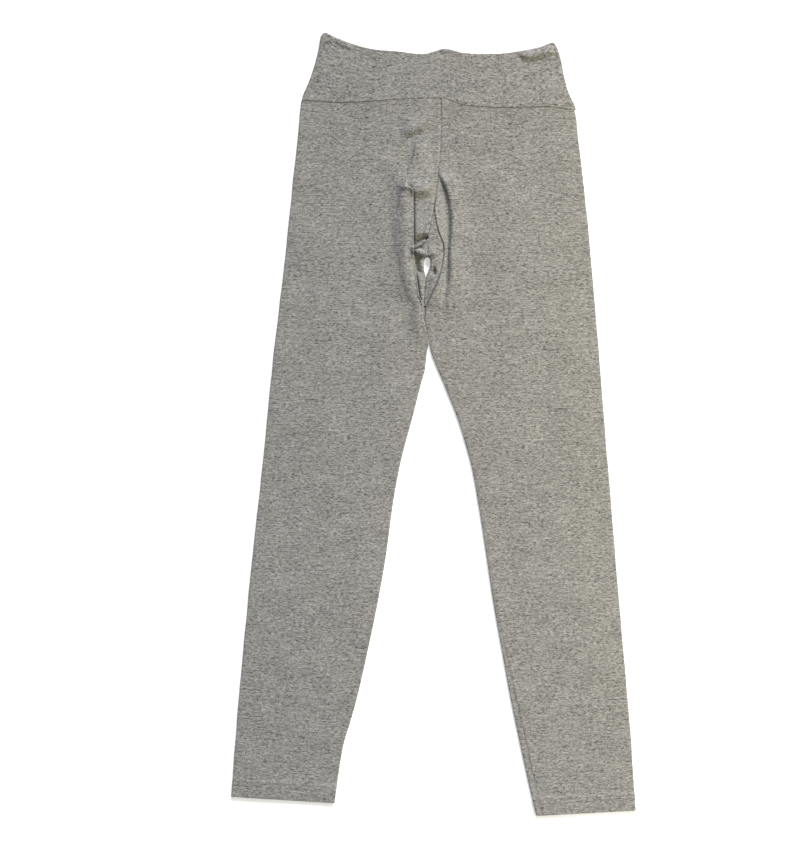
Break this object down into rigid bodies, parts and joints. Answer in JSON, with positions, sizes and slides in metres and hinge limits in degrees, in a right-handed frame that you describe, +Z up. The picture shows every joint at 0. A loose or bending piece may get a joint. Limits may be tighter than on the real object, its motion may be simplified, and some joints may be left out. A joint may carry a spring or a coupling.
{
  "type": "leggings",
  "caption": "Full-length leggings laid flat with the back up, with a deep contoured waistband, one panel for each leg and a gusset between them.",
  "frame": {"origin": "on the table, under the middle of the garment's outline", "axes": "+Z up from the table, +Y from the hems towards the waist, +X to the viewer's right"},
  "size_m": [0.5255, 1.0161, 0.0078],
  "materials": {
    "jersey": "matt marl jersey"
  },
  "bodies": {
    "root": {"waistband_back": "jersey", "waistband_front": "jersey", "left_leg": "jersey", "right_leg": "jersey", "gusset": "jersey"}
  },
  "joints": []
}
